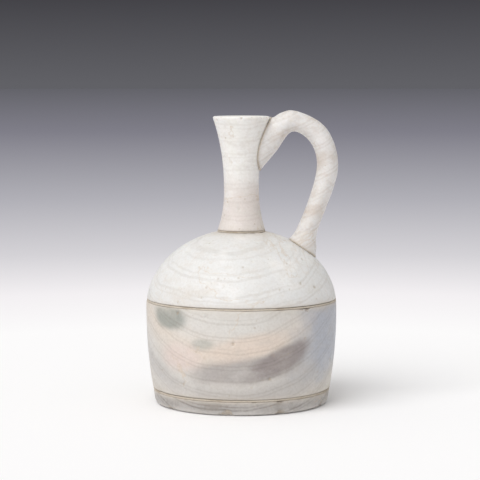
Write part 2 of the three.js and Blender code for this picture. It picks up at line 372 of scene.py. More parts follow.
def makeNeck():
    shape = neckShape
    turn = np.linspace(0, math.pi / 2, 8)[1:]
    lipMiddle = shape["lipRadius"] - shape["lipEdge"]
    lipOut = lipMiddle + shape["lipEdge"] * np.cos(turn)
    lipUp = rimHeight - shape["lipEdge"] * (1 - np.sin(turn))
    outline = [
        (shape["boreRadius"], spigotBottom),
        (shape["spigotRadius"], spigotBottom),
        (shape["spigotRadius"], neckBottom),
        *upThrough(neckRadius, neckBottom, rimHeight - shape["lipEdge"], 50),
        *zip(lipOut, lipUp),
        *upThrough(mouthRadius, rimHeight, shape["throatHeight"], 30),
    ]
    edges = [(shape["lipRadius"], rimHeight - shape["lipEdge"] / 2), (shape["mouthRadius"], rimHeight)]
    return turnedPiece("neck_stone", outline, neckRadius, edges, [neckBottom], neckWear)


handleShape = {
    "crest": 0.0032, "crestOut": 0.0285, "reach": 0.0539, "belly": 0.0275,
    "thickness": 0.012, "halfWidth": 0.0066, "rootHalfWidth": 0.008,
    "rootTop": 0.0025, "rootDrop": 0.031, "footInset": 0.0195, "footSpan": 0.017, "ankle": 0.008,
    "bury": 0.006,
    "joint": 0.0007, "rows": 260, "around": 96,
    "waver": 0.00016, "waverSize": 0.02, "facets": 0.00008, "facetSize": 0.005,
    "pits": 22, "pitSize": (0.0005, 0.0011), "pitDepth": 0.26, "chips": 0,
    "ringSpacing": 0.0016, "rings": 0.0, "deepest": 0.0006, "seed": 53,
}


def handleEdges():
    shape = handleShape
    half = math.sqrt(0.5)
    footRadius = bodyShape["waistRadius"] - shape["footInset"]
    foot = np.array([footRadius, float(shoulderHeight(footRadius))])
    crest = np.array([shape["crestOut"], rimHeight + shape["crest"]])
    belly = np.array([shape["reach"], rimHeight - shape["belly"]])
    innerCrest = crest - [0, shape["thickness"]]
    innerBelly = belly - [shape["thickness"], 0]
    lip = np.array([neckShape["lipRadius"], rimHeight - shape["rootTop"] / 2])
    root = np.array([neckShape["throatRadius"], rimHeight - shape["rootDrop"]])
    leg = (belly + innerBelly) / 2 - foot
    leg /= np.linalg.norm(leg)
    aside = np.array([leg[1], -leg[0]])

    def legPoint(rise, out):
        return foot + leg * rise + aside * out

    def bend(top, side):
        return np.array([top[0] + (side[0] - top[0]) * half, side[1] + (top[1] - side[1]) * half])

    arch = np.array([(lip[0] + crest[0]) / 2, crest[1] - (crest[1] - lip[1]) / 4])
    buried = neckShape["throatRadius"] - shape["bury"]
    back = [
        (buried, rimHeight - shape["rootTop"]), lip, arch, crest, bend(crest, belly), belly,
        legPoint(shape["ankle"], shape["thickness"] / 2), legPoint(0, shape["footSpan"] / 2),
        legPoint(-2 * shape["bury"], shape["footSpan"] / 2),
    ]
    inner = [
        (buried, rimHeight - shape["rootDrop"] - shape["bury"]), root, (root + innerCrest) / 2, innerCrest,
        bend(innerCrest, innerBelly), innerBelly,
        legPoint(shape["ankle"], -shape["thickness"] / 2), legPoint(0, -shape["footSpan"] / 2),
        legPoint(-2 * shape["bury"], -shape["footSpan"] / 2),
    ]
    return np.array(back, float), np.array(inner, float)


# A centripetal Catmull-Rom curve: between two points it is a cubic whose end slopes come from their
# neighbours, weighted by the square root of the distances. share runs from 0 to 1 over all the points.
def curveAt(points, share):
    padded = np.vstack([2 * points[0] - points[1], points, 2 * points[-1] - points[-2]])
    place = np.clip(np.asarray(share) * (len(points) - 1), 0, len(points) - 1 - 1e-9)
    start = place.astype(int)
    rest = (place - start)[..., None]
    a, b, c, d = (padded[start + k] for k in range(4))
    ab, bc, cd = (np.linalg.norm(q - p, axis=-1, keepdims=True) ** 0.5 for p, q in ((a, b), (b, c), (c, d)))
    slopeB = ((b - a) / ab - (c - a) / (ab + bc) + (c - b) / bc) * bc
    slopeC = ((c - b) / bc - (d - b) / (bc + cd) + (d - c) / cd) * bc
    cubic = 2 * b - 2 * c + slopeB + slopeC
    square = -3 * b + 3 * c - 2 * slopeB - slopeC
    return ((cubic * rest + square) * rest + slopeB) * rest + b


# A point of the handle: an oval between the back edge and the inner edge, wider at both roots.
def handlePoint(share, angle):
    back, inner = handleEdges()
    outer, under = curveAt(back, share), curveAt(inner, share)
    middle, reach = (outer + under) / 2, (outer - under) / 2
    nearRoot = np.abs(2 * share - 1) ** 4
    extra = handleShape["rootHalfWidth"] - handleShape["halfWidth"]
    halfWidth = handleShape["halfWidth"] + extra * nearRoot
    flat = middle + reach * np.cos(angle)[..., None]
    return np.stack([flat[..., 0], halfWidth * np.sin(angle), flat[..., 1]], axis=-1)


def neckGap(points):
    return np.hypot(points[..., 0], points[..., 1]) - neckRadius(points[..., 2])


def shoulderGap(points):
    radius = np.hypot(points[..., 0], points[..., 1])
    return points[..., 2] - shoulderHeight(radius)


# A patch of the neck's surface, raised by an offset: a ring's angles and heights drawn in to its middle
# by a share.
def onNeck(ring, share, offset):
    turn = np.arctan2(ring[:, 1], ring[:, 0]) * share
    middle = (ring[:, 2].max() + ring[:, 2].min()) / 2
    height = middle + (ring[:, 2] - middle) * share
    radius = neckRadius(height) + offset
    return np.stack([radius * np.cos(turn), radius * np.sin(turn), height], axis=-1)


# The same on the shoulder, where the ring's plan is drawn in to its middle.
def onShoulder(ring, share, offset):
    middle = np.array([(ring[:, 0].max() + ring[:, 0].min()) / 2, 0])
    plan = middle + (ring[:, :2] - middle) * share
    height = shoulderHeight(np.hypot(plan[:, 0], plan[:, 1]), offset)
    return np.stack([plan[:, 0], plan[:, 1], height], axis=-1)


# The handle: every line along it starts where it leaves the neck and ends where it meets the shoulder,
# and both ends are closed by rings drawn in over those surfaces.
def makeHandle():
    shape = handleShape
    joint = shape["joint"]
    angle = np.linspace(0, 2 * math.pi, shape["around"], endpoint=False)
    fine = np.linspace(0, 1, 1200)
    share = np.repeat(fine[:, None], len(angle), axis=1)
    turn = np.repeat(angle[None, :], len(fine), axis=0)
    line = handlePoint(share, turn)
    half = len(fine) // 2
    inNeck = neckGap(line[:half]) < joint
    start = fine[half - 1 - np.argmax(inNeck[::-1], axis=0)]
    inShoulder = shoulderGap(line[half:]) < joint
    end = fine[half + np.argmax(inShoulder, axis=0)]
    steps = np.linspace(0, 1, shape["rows"])[:, None]
    share = start + (end - start) * steps
    turn = np.repeat(angle[None, :], shape["rows"], axis=0)
    points = handlePoint(share, turn)
    points[0] = onNeck(points[0], 1.0, joint)
    points[-1] = onShoulder(points[-1], 1.0, joint)
    ahead = np.gradient(points, axis=0)
    around = (np.roll(points, -1, axis=1) - np.roll(points, 1, axis=1)) / 2
    normal = np.cross(around, ahead)
    normal /= np.linalg.norm(normal, axis=-1, keepdims=True)
    middle = points.mean(axis=1, keepdims=True)
    normal *= np.sign(((points - middle) * normal).sum(axis=-1, keepdims=True).mean())
    away = smoothStep(0, 0.03, np.minimum(steps, 1 - steps)) * np.ones_like(share)
    sunk = wornDepth(points, away, np.zeros_like(share), shape)
    grid = points - normal * sunk[..., None]
    caps = np.linspace(0.1, 0.9, 6)
    neckCap = np.array([onNeck(grid[0], s, joint) for s in caps])
    shoulderCap = np.array([onShoulder(grid[-1], s, joint) for s in caps[::-1]])
    whole = np.concatenate([neckCap, grid, shoulderCap])
    poles = [onNeck(grid[0], 0.0, joint)[0], onShoulder(grid[-1], 0.0, joint)[0]]
    rowSoil = np.exp(-np.minimum(steps, 1 - steps) / 0.02) * np.ones_like(share)
    blank = np.ones((len(caps), len(angle)))
    fields = {
        "edgeness": np.concatenate([blank * 0, sunk * 0, blank * 0]),
        "soil": np.concatenate([blank, rowSoil, blank]),
        "sunk": np.concatenate([blank * 0, sunk / shape["deepest"], blank * 0]),
    }
    return gridPiece("handle_stone", whole, fields, poles), grid[0], grid[-1]


cementShape = {"bulge": 0.00035, "roughness": 0.00012, "recess": 0.00015, "around": 400, "seed": 67}


# A bed of cement under a root of the handle. Its outline is the root's own, a little larger in the middle
# of the bed, and it runs from just off the one stone to just off the other.
def cementPad(name, ring, surface, size):
    thick = handleShape["joint"]
    wide = cementShape["bulge"] / size
    layers = [
        (0.15, 0.02), (0.4, 0.02), (0.7, 0.02), (0.9, 0.02), (1.0, 0.02), (1 + 0.7 * wide, 0.12),
        (1 + wide, 0.4), (1 + 0.9 * wide, 0.7), (1 + 0.3 * wide, 0.95), (0.99, 0.99), (0.9, 0.97),
        (0.7, 0.97), (0.4, 0.97), (0.15, 0.97),
    ]
    grid = np.array([surface(ring, share, depth * thick) for share, depth in layers])
    middle = grid.mean(axis=(0, 1))
    shake = ripple(grid, 0.0016, cementShape["seed"])[..., None] * cementShape["roughness"]
    outer = np.array([share >= 1.0 for share, _ in layers])[:, None, None]
    toMiddle = (grid - middle) / np.linalg.norm(grid - middle, axis=-1, keepdims=True)
    grid = grid + outer * shake * toMiddle
    poles = [surface(ring, 0.0, 0.02 * thick)[0], surface(ring, 0.0, 0.97 * thick)[0]]
    return gridPiece(name, grid, {"soil": np.ones(grid.shape[:2])}, poles)


# A flat ring of cement between two turned stones, a little sunk and uneven at its outer edge.
def cementRing(name, innerRadius, outerAt, low, high):
    angle = np.linspace(0, 2 * math.pi, cementShape["around"], endpoint=False)
    share = np.array([0.0, 0.2, 0.5, 0.8, 1.0])
    hollow = cementShape["recess"] * (1.0 + 0.5 * np.sin(math.pi * share))
    height = low + (high - low) * share
    outer = outerAt(height) - hollow
    radius = np.concatenate([outer, [innerRadius, innerRadius]])
    level = np.concatenate([height, [high, low]])
    points = carriedRound(radius, level, angle)
    uneven = cementShape["roughness"] * (ripple(points, 0.004, cementShape["seed"] + 1) - 0.5)
    isOuter = np.concatenate([np.ones(len(outer)), [0, 0]])[:, None]
    factor = 1 + isOuter * np.minimum(uneven, 0) / radius[:, None]
    points[..., :2] *= factor[..., None]
    return gridPiece(name, points, {"soil": np.ones(points.shape[:2])})


foot = makeFoot()
drum = makeDrum()
shoulder = makeShoulder()
neck = makeNeck()
handle, upperRing, lowerRing = makeHandle()

footJoint = cementRing("foot_joint", float(hollowRadius(drumBottom)), bodyRadius, footTop, drumBottom)
stepOut = float(bodyRadius(shoulderBottom)) - bodyShape["wall"] / 2 + bodyShape["slip"]
waistJoint = cementRing("waist_joint", stepOut, bodyRadius, drumTop, shoulderBottom)
neckJoint = cementRing(
    "neck_joint", neckShape["spigotRadius"] + bodyShape["slip"],
    lambda height: np.full_like(height, neckShape["footRadius"]), neckSeat, neckBottom,
)
upperPad = cementPad("handle_upper_joint", upperRing, onNeck, 0.008)
lowerPad = cementPad("handle_lower_joint", lowerRing, onShoulder, 0.0085)

print("mixing the finishes")


# A colour as it shows on a screen, from 0 to 255, turned into the shader's linear light.
def shown(red, green, blue):
    part = np.array([red, green, blue]) / 255
    linear = np.where(part <= 0.04045, part / 12.92, ((part + 0.055) / 1.055) ** 2.4)
    return (*linear.tolist(), 1.0)


def addNode(tree, kind, sockets=None, **settings):
    made = tree.nodes.new("ShaderNode" + kind)
    for key, value in settings.items():
        setattr(made, key, value)
    for socket, value in (sockets or {}).items():
        if isinstance(value, bpy.types.NodeSocket):
            tree.links.new(value, made.inputs[socket])
        else:
            made.inputs[socket].default_value = value
    return made


def calc(tree, operation, *values, clamp=False):
    sockets = dict(enumerate(values))
    return addNode(tree, "Math", sockets, operation=operation, use_clamp=clamp).outputs[0]


def blendColours(tree, share, first, second, blend="MIX"):
    mix = addNode(tree, "Mix", {0: share, 6: first, 7: second}, data_type="RGBA", blend_type=blend)
    return mix.outputs[2]


def remap(tree, value, low, high, newLow=0.0, newHigh=1.0):
    sockets = {0: value, 1: low, 2: high, 3: newLow, 4: newHigh}
    return addNode(tree, "MapRange", sockets, interpolation_type="SMOOTHSTEP").outputs[0]


# A colour ramp over a value. A new ramp has two stops, so those are used before any are added.
def fillRamp(tree, value, tints, interpolation="LINEAR"):
    ramp = addNode(tree, "ValToRGB", {0: value})
    ramp.color_ramp.interpolation = interpolation
    stops = ramp.color_ramp.elements
    for number, (place, tint) in enumerate(tints):
        stop = stops[number] if number < 2 else stops.new(place)
        stop.position = place
        stop.color = tint
    return ramp.outputs[0]


def newGroup(name, inputs, outputs):
    tree = bpy.data.node_groups.new(name, "ShaderNodeTree")
    kinds = {"vector": "NodeSocketVector", "value": "NodeSocketFloat", "colour": "NodeSocketColor"}
    for label, kind, start in inputs:
        socket = tree.interface.new_socket(name=label, in_out="INPUT", socket_type=kinds[kind])
        if start is not None:
            socket.default_value = start
    for label, kind in outputs:
        tree.interface.new_socket(name=label, in_out="OUTPUT", socket_type=kinds[kind])
    entry = tree.nodes.new("NodeGroupInput")
    leave = tree.nodes.new("NodeGroupOutput")
    return tree, entry.outputs, leave.inputs


# The height of a point in the stone's own layers: z less a slope in x and in y, plus a slow wave.
def makeLayersGroup():
    tree, given, out = newGroup(
        "stone layers",
        [("Position", "vector", None), ("Slope X", "value", 0.0), ("Slope Y", "value", 0.0),
         ("Wave", "value", 0.002), ("Wave Scale", "value", 30.0)],
        [("Layer", "value")],
    )
    place = addNode(tree, "SeparateXYZ", {0: given["Position"]}).outputs
    sockets = {"Vector": given["Position"], "Scale": given["Wave Scale"], "Detail": 4.0}
    wave = addNode(tree, "TexNoise", sockets)
    swing = calc(tree, "MULTIPLY", calc(tree, "SUBTRACT", wave.outputs[0], 0.5), given["Wave"])
    alongX = calc(tree, "MULTIPLY", place[0], given["Slope X"])
    alongY = calc(tree, "MULTIPLY", place[1], given["Slope Y"])
    layer = calc(tree, "ADD", calc(tree, "SUBTRACT", calc(tree, "SUBTRACT", place[2], alongX), alongY), swing)
    tree.links.new(layer, out["Layer"])
    return tree


# A soft-edged patch: 1 inside an ellipsoid that leans in z with x, fading out over its softness.
def makePatchGroup():
    tree, given, out = newGroup(
        "soft patch",
        [("Position", "vector", None), ("Middle", "vector", (0, 0, 0)), ("Size", "vector", (1, 1, 1)),
         ("Lean", "value", 0.0), ("Softness", "value", 0.4), ("Ragged", "value", 0.25),
         ("Ragged Scale", "value", 90.0)],
        [("Mask", "value")],
    )
    offset = addNode(tree, "VectorMath", {0: given["Position"], 1: given["Middle"]}, operation="SUBTRACT")
    part = addNode(tree, "SeparateXYZ", {0: offset.outputs[0]}).outputs
    leant = calc(tree, "SUBTRACT", part[2], calc(tree, "MULTIPLY", part[0], given["Lean"]))
    joined = addNode(tree, "CombineXYZ", {0: part[0], 1: part[1], 2: leant}).outputs[0]
    scaled = addNode(tree, "VectorMath", {0: joined, 1: given["Size"]}, operation="DIVIDE").outputs[0]
    reach = addNode(tree, "VectorMath", {0: scaled}, operation="LENGTH").outputs["Value"]
    sockets = {"Vector": given["Position"], "Scale": given["Ragged Scale"], "Detail": 5.0}
    noise = addNode(tree, "TexNoise", sockets)
    shake = calc(tree, "MULTIPLY", calc(tree, "SUBTRACT", noise.outputs[0], 0.5), given["Ragged"])
    reach = calc(tree, "ADD", reach, calc(tree, "MULTIPLY", shake, 2.0))
    low = calc(tree, "SUBTRACT", 1.0, given["Softness"])
    high = calc(tree, "ADD", 1.0, given["Softness"])
    tree.links.new(remap(tree, reach, low, high, 1.0, 0.0), out["Mask"])
    return tree


# Cloudy tone: two sizes of noise push a colour towards a lighter and a deeper one.
def makeCloudGroup():
    tree, given, out = newGroup(
        "cloudy tone",
        [("Position", "vector", None), ("Base", "colour", None), ("Light", "colour", None),
         ("Deep", "colour", None), ("Scale", "value", 40.0), ("Amount", "value", 0.5)],
        [("Colour", "colour")],
    )
    sockets = {0: given["Position"], 1: (1.0, 1.0, 1.8)}
    stretch = addNode(tree, "VectorMath", sockets, operation="MULTIPLY").outputs[0]
    sockets = {"Vector": stretch, "Scale": given["Scale"], "Detail": 5.0, "Roughness": 0.6}
    large = addNode(tree, "TexNoise", sockets)
    fineScale = calc(tree, "MULTIPLY", given["Scale"], 5.0)
    small = addNode(tree, "TexNoise", {"Vector": stretch, "Scale": fineScale, "Detail": 4.0})
    lighter = calc(tree, "MULTIPLY", remap(tree, large.outputs[0], 0.5, 0.75), given["Amount"])
    deeper = calc(tree, "MULTIPLY", remap(tree, large.outputs[0], 0.5, 0.28), given["Amount"])
    halfAmount = calc(tree, "MULTIPLY", given["Amount"], 0.5)
    specks = calc(tree, "MULTIPLY", remap(tree, small.outputs[0], 0.5, 0.3), halfAmount)
    colour = blendColours(tree, lighter, given["Base"], given["Light"])
    colour = blendColours(tree, deeper, colour, given["Deep"])
    colour = blendColours(tree, specks, colour, given["Deep"])
    tree.links.new(colour, out["Colour"])
    return tree


# Crystal grain: small cells of slightly different tone, with their borders a little sunk.
def makeGrainGroup():
    tree, given, out = newGroup(
        "crystal grain",
        [("Position", "vector", None), ("Scale", "value", 900.0)],
        [("Tone", "value"), ("Height", "value")],
    )
    cells = addNode(tree, "TexVoronoi", {"Vector": given["Position"], "Scale": given["Scale"]})
    noise = addNode(tree, "TexNoise", {"Vector": given["Position"], "Scale": given["Scale"], "Detail": 3.0})
    grey = addNode(tree, "RGBToBW", {0: cells.outputs["Color"]}).outputs[0]
    tone = calc(tree, "ADD", calc(tree, "MULTIPLY", grey, 0.5), calc(tree, "MULTIPLY", noise.outputs[0], 0.5))
    tree.links.new(tone, out["Tone"])
    height = calc(tree, "SUBTRACT", noise.outputs[0], calc(tree, "MULTIPLY", cells.outputs["Distance"], 0.4))
    tree.links.new(height, out["Height"])
    return tree


# Small pits: round cells, kept only where a slower noise is high. The mask is 1 in the pit.
def makePitsGroup():
    tree, given, out = newGroup(
        "small pits",
        [("Position", "vector", None), ("Scale", "value", 260.0), ("Size", "value", 0.22),
         ("Cover", "value", 0.45)],
        [("Mask", "value")],
    )
    cells = addNode(tree, "TexVoronoi", {"Vector": given["Position"], "Scale": given["Scale"]})
    slow = addNode(tree, "TexNoise", {"Vector": given["Position"], "Scale": 55.0, "Detail": 3.0})
    chance = addNode(tree, "RGBToBW", {0: cells.outputs["Color"]}).outputs[0]
    kept = calc(tree, "LESS_THAN", chance, given["Cover"])
    wide = calc(tree, "MULTIPLY", given["Size"], remap(tree, slow.outputs[0], 0.4, 0.65))
    narrow = calc(tree, "MULTIPLY", wide, 0.4)
    hole = addNode(tree, "MapRange", {0: cells.outputs["Distance"], 1: narrow, 2: wide, 3: 1.0, 4: 0.0})
    tree.links.new(calc(tree, "MULTIPLY", hole.outputs[0], kept), out["Mask"])
    return tree


# Hairline veins: thin lines where a folded noise crosses its middle value.
def makeVeinsGroup():
    tree, given, out = newGroup(
        "hairline veins",
        [("Position", "vector", None), ("Scale", "value", 22.0), ("Width", "value", 0.006)],
        [("Mask", "value")],
    )
    sockets = {
        "Vector": given["Position"], "Scale": given["Scale"], "Detail": 6.0, "Roughness": 0.55,
        "Distortion": 0.6,
    }
    noise = addNode(tree, "TexNoise", sockets)
    apart = calc(tree, "ABSOLUTE", calc(tree, "SUBTRACT", noise.outputs[0], 0.5))
    thin = addNode(tree, "MapRange", {0: apart, 1: 0.0, 2: given["Width"], 3: 1.0, 4: 0.0})
    slow = addNode(tree, "TexNoise", {"Vector": given["Position"], "Scale": 30.0, "Detail": 2.0})
    shownShare = remap(tree, slow.outputs[0], 0.45, 0.62)
    tree.links.new(calc(tree, "MULTIPLY", thin.outputs[0], shownShare), out["Mask"])
    return tree


# Turning marks: fine level rings from the maker's abrasive, broken up by noise.
def makeTurningGroup():
    tree, given, out = newGroup(
        "turning marks", [("Position", "vector", None), ("Spacing", "value", 0.0009)], [("Height", "value")]
    )
    place = addNode(tree, "SeparateXYZ", {0: given["Position"]}).outputs
    noise = addNode(tree, "TexNoise", {"Vector": given["Position"], "Scale": 70.0, "Detail": 3.0})
    turns = calc(tree, "DIVIDE", place[2], given["Spacing"])
    phase = calc(tree, "MULTIPLY_ADD", noise.outputs[0], 9.0, calc(tree, "MULTIPLY", turns, 2 * math.pi))
    wave = calc(tree, "SINE", phase)
    faint = remap(tree, noise.outputs[0], 0.4, 0.62)
    tree.links.new(calc(tree, "MULTIPLY", calc(tree, "MULTIPLY_ADD", wave, 0.5, 0.5), faint), out["Height"])
    return tree


effects = {
    "layers": makeLayersGroup(),
    "patch": makePatchGroup(),
    "cloud": makeCloudGroup(),
    "grain": makeGrainGroup(),
    "pits": makePitsGroup(),
    "veins": makeVeinsGroup(),
    "turning": makeTurningGroup(),
}


def useGroup(tree, name, sockets):
    made = tree.nodes.new("ShaderNodeGroup")
    made.node_tree = effects[name]
    for socket, value in sockets.items():
        if isinstance(value, bpy.types.NodeSocket):
            tree.links.new(value, made.inputs[socket])
        else:
            made.inputs[socket].default_value = value
    return made.outputs


def newMaterial(name):
    material = bpy.data.materials.new(name)
    material.use_nodes = True
    tree = material.node_tree
    tree.nodes.clear()
    return material, tree


paleLook = {
    "base": shown(233, 230, 226), "light": shown(241, 239, 236), "deep": shown(216, 210, 202),
    "soil": shown(176, 160, 140), "edge": shown(240, 236, 230), "vein": shown(206, 188, 166),
    "cloudScale": 38.0, "cloudAmount": 0.75, "roughness": (0.34, 0.52), "soilAmount": 0.40,
    "bands": None, "bandAmount": 0.22, "lineTurns": (2600.0, 730.0), "slope": (0.05, 0.25), "patches": [],
}

shoulderLook = dict(paleLook, base=shown(226, 225, 223), slope=(0.087, 0.3), bandAmount=0.28)
neckLook = dict(
    paleLook, base=shown(240, 238, 234), slope=(0.03, 0.1), bandAmount=0.18,
    patches=[
        {"middle": (0.0, 0.0, 0.107), "size": (0.03, 0.03, 0.017), "lean": 0.1, "softness": 0.6,
         "colour": shown(217, 206, 200), "amount": 0.75},
    ],
)
handleLook = dict(
    paleLook, base=shown(226, 223, 220), light=shown(236, 233, 231), deep=shown(204, 192, 181),
    slope=(0.5, 0.2),
)
# The foot's dark grey is partly its own stone colour and partly painted contact shade near the floor.
footStoneAndShadeLook = dict(
    paleLook, base=shown(176, 172, 169), light=shown(194, 190, 186), deep=shown(146, 140, 134),
    cloudAmount=0.85, slope=(0.1, 0.5), bandAmount=0.5, soilAmount=0.5,
)

# The drum's bands: (layer height in millimetres, colour). On the front, a layer shows about 36 mm lower.
drumBandsAndShadeLook = dict(
    paleLook,
    base=shown(217, 213, 207),
    light=shown(229, 225, 219),
    deep=shown(198, 190, 182),
    slope=(0.087, 0.69),
    bands=[
        (-32, shown(208, 202, 194)), (-24, shown(222, 217, 210)), (-17, shown(188, 180, 170)),
        (-12, shown(214, 204, 192)), (-4, shown(224, 219, 212)), (4, shown(182, 177, 170)),
        (10, shown(208, 200, 190)), (18, shown(224, 220, 213)), (26, shown(196, 190, 182)),
        (32, shown(208, 203, 197)), (39, shown(192, 188, 185)),
        (47, shown(188, 184, 180)), (52, shown(209, 205, 200)),
        (60, shown(206, 199, 191)), (70, shown(220, 209, 197)), (76, shown(218, 211, 203)),
        (84, shown(214, 211, 206)), (94, shown(219, 216, 211)),
    ],
    patches=[
        # The first patch, blue-grey on the right side, is painted shade with a painted bluish reflection; the
        # other patches are the stone's own colour.
        {"middle": (0.047, -0.022, 0.042), "size": (0.026, 0.034, 0.0200), "lean": 0.25, "softness": 0.45,
         "ragged": 0.75, "scale": 48.0,
         "colour": shown(176, 180, 190), "amount": 0.90},
        {"middle": (0.004, -0.052, 0.0255), "size": (0.036, 0.016, 0.0068), "lean": 0.10, "softness": 0.35,
         "colour": shown(170, 164, 161), "amount": 0.88},
        {"middle": (0.023, -0.048, 0.0310), "size": (0.019, 0.014, 0.0072), "lean": 0.42, "softness": 0.32,
         "colour": shown(148, 139, 137), "amount": 0.90},
        {"middle": (-0.040, -0.036, 0.0530), "size": (0.012, 0.013, 0.0072), "lean": -0.10, "softness": 0.32,
         "colour": shown(148, 151, 144), "amount": 0.85},
        {"middle": (-0.0205, -0.0485, 0.0388), "size": (0.0065, 0.008, 0.0030), "lean": 0.0, "softness": 0.45,
         "colour": shown(168, 168, 160), "amount": 0.65},
        {"middle": (0.002, -0.052, 0.0378), "size": (0.024, 0.014, 0.0062), "lean": 0.22, "softness": 0.45,
         "colour": shown(223, 206, 192), "amount": 0.70},
        {"middle": (-0.033, -0.041, 0.0310), "size": (0.012, 0.014, 0.0075), "lean": 0.0, "softness": 0.5,
         "colour": shown(221, 202, 195), "amount": 0.6},
    ],
)


# Travertine: bands in tilted layers, soft patches, cloudy tone, grain, veins and pits, with soil in the
# joints and paler edges. The dirt makes it rougher. Some looks also paint shade into a patch or the base
# colour.
def stoneMaterial(name, look):
    material, tree = newMaterial(name)
    position = tree.nodes.new("ShaderNodeTexCoord").outputs["Object"]
    slopeX, slopeY = look["slope"]
    layer = useGroup(
        tree, "layers",
        {"Position": position, "Slope X": slopeX, "Slope Y": slopeY, "Wave": 0.007, "Wave Scale": 32.0},
    )["Layer"]
    colour = look["base"]
    if look["bands"]:
        low, high = look["bands"][0][0], look["bands"][-1][0]
        share = addNode(
            tree, "MapRange", {0: layer, 1: low * millimetre, 2: high * millimetre, 3: 0.0, 4: 1.0}
        ).outputs[0]
        tints = [((height - low) / (high - low), tint) for height, tint in look["bands"]]
        colour = fillRamp(tree, share, tints, "B_SPLINE")
    for patch in look["patches"]:
        mask = useGroup(
            tree, "patch",
            {"Position": position, "Middle": patch["middle"], "Size": patch["size"], "Lean": patch["lean"],
             "Softness": patch["softness"], "Ragged": patch.get("ragged", 0.25),
             "Ragged Scale": patch.get("scale", 85.0)},
        )["Mask"]
        colour = blendColours(tree, calc(tree, "MULTIPLY", mask, patch["amount"]), colour, patch["colour"])
    fineWave = calc(tree, "SINE", calc(tree, "MULTIPLY", layer, look["lineTurns"][0]))
    slowWave = calc(tree, "SINE", calc(tree, "MULTIPLY", layer, look["lineTurns"][1]))
    crests = remap(tree, calc(tree, "ADD", fineWave, slowWave), 0.2, 1.8)
    lines = calc(tree, "MULTIPLY", crests, look["bandAmount"])
    colour = blendColours(tree, lines, colour, look["deep"], "MULTIPLY")
    clouded = useGroup(
        tree, "cloud",
        {"Position": position, "Base": colour, "Light": look["light"], "Deep": look["deep"],
         "Scale": look["cloudScale"], "Amount": look["cloudAmount"] * (0.35 if look["bands"] else 1.0)},
    )["Colour"]
    veins = useGroup(tree, "veins", {"Position": position, "Scale": 21.0, "Width": 0.007})["Mask"]
    colour = blendColours(tree, calc(tree, "MULTIPLY", veins, 0.55), clouded, look["vein"])
    grain = useGroup(tree, "grain", {"Position": position, "Scale": 950.0})
    toned = remap(tree, grain["Tone"], 0.3, 0.75, 0.0, 0.16)
    colour = blendColours(tree, toned, colour, look["deep"], "MULTIPLY")
    sockets = {"Position": position, "Scale": 300.0, "Size": 0.30, "Cover": 0.30}
    pits = useGroup(tree, "pits", sockets)["Mask"]
    sockets = {"Position": position, "Scale": 800.0, "Size": 0.34, "Cover": 0.30}
    finePits = useGroup(tree, "pits", sockets)["Mask"]
    holes = calc(tree, "MAXIMUM", pits, calc(tree, "MULTIPLY", finePits, 0.6))
    sunk = addNode(tree, "Attribute", attribute_name="sunk").outputs["Fac"]
    soilBand = addNode(tree, "Attribute", attribute_name="soil").outputs["Fac"]
    edge = addNode(tree, "Attribute", attribute_name="edgeness").outputs["Fac"]
    dirt = calc(tree, "MULTIPLY", calc(tree, "MAXIMUM", holes, soilBand), look["soilAmount"])
    dirt = calc(tree, "MAXIMUM", dirt, calc(tree, "MULTIPLY", remap(tree, sunk, 0.35, 0.9), 0.6))
    colour = blendColours(tree, calc(tree, "MULTIPLY", edge, 0.35), colour, look["edge"])
    colour = blendColours(tree, dirt, colour, look["soil"])
    turning = useGroup(tree, "turning", {"Position": position, "Spacing": 0.0009})["Height"]
    height = calc(tree, "MULTIPLY_ADD", grain["Height"], 0.25, calc(tree, "MULTIPLY", turning, 0.35))
    height = calc(tree, "SUBTRACT", height, calc(tree, "MULTIPLY", holes, 2.2))
    height = calc(tree, "SUBTRACT", height, calc(tree, "MULTIPLY", veins, 0.35))
    normal = addNode(tree, "Bump", {"Height": height, "Strength": 0.35, "Distance": 0.00012}).outputs[0]
    smooth, rough = look["roughness"]
    gloss = remap(tree, grain["Tone"], 0.2, 0.8, smooth, rough)
    gloss = calc(tree, "ADD", gloss, calc(tree, "MULTIPLY", dirt, 0.3), clamp=True)
    shader = addNode(tree, "BsdfPrincipled", {"Base Color": colour, "Roughness": gloss, "Normal": normal})
    shader.inputs["Specular IOR Level"].default_value = 0.42
    shader.inputs["Subsurface Weight"].default_value = 0.12
    shader.inputs["Subsurface Radius"].default_value = (1.0, 0.8, 0.6)
    shader.inputs["Subsurface Scale"].default_value = 0.003
    target = tree.nodes.new("ShaderNodeOutputMaterial")
    tree.links.new(shader.outputs[0], target.inputs["Surface"])
    return material


# Old lime cement: matt, sandy and uneven, darker where it has taken up dirt.
def cementMaterial():
    look = {"base": shown(202, 192, 178), "light": shown(214, 206, 194), "deep": shown(170, 156, 138)}
    material, tree = newMaterial("lime cement")
    position = tree.nodes.new("ShaderNodeTexCoord").outputs["Object"]
    colour = useGroup(
        tree, "cloud",
        {"Position": position, "Base": look["base"], "Light": look["light"], "Deep": look["deep"],
         "Scale": 120.0, "Amount": 0.8},
    )["Colour"]
    grain = useGroup(tree, "grain", {"Position": position, "Scale": 2200.0})
    pits = useGroup(tree, "pits", {"Position": position, "Scale": 1400.0, "Size": 0.4, "Cover": 0.4})["Mask"]
    colour = blendColours(tree, calc(tree, "MULTIPLY", grain["Tone"], 0.3), colour, look["deep"])
    colour = blendColours(tree, calc(tree, "MULTIPLY", pits, 0.6), colour, look["deep"])
    height = calc(tree, "SUBTRACT", grain["Height"], pits)
    normal = addNode(tree, "Bump", {"Height": height, "Strength": 0.5, "Distance": 0.00015}).outputs[0]
    gloss = remap(tree, grain["Tone"], 0.2, 0.8, 0.78, 0.95)
    shader = addNode(tree, "BsdfPrincipled", {"Base Color": colour, "Roughness": gloss, "Normal": normal})
    shader.inputs["Specular IOR Level"].default_value = 0.25
    target = tree.nodes.new("ShaderNodeOutputMaterial")
    tree.links.new(shader.outputs[0], target.inputs["Surface"])
    return material


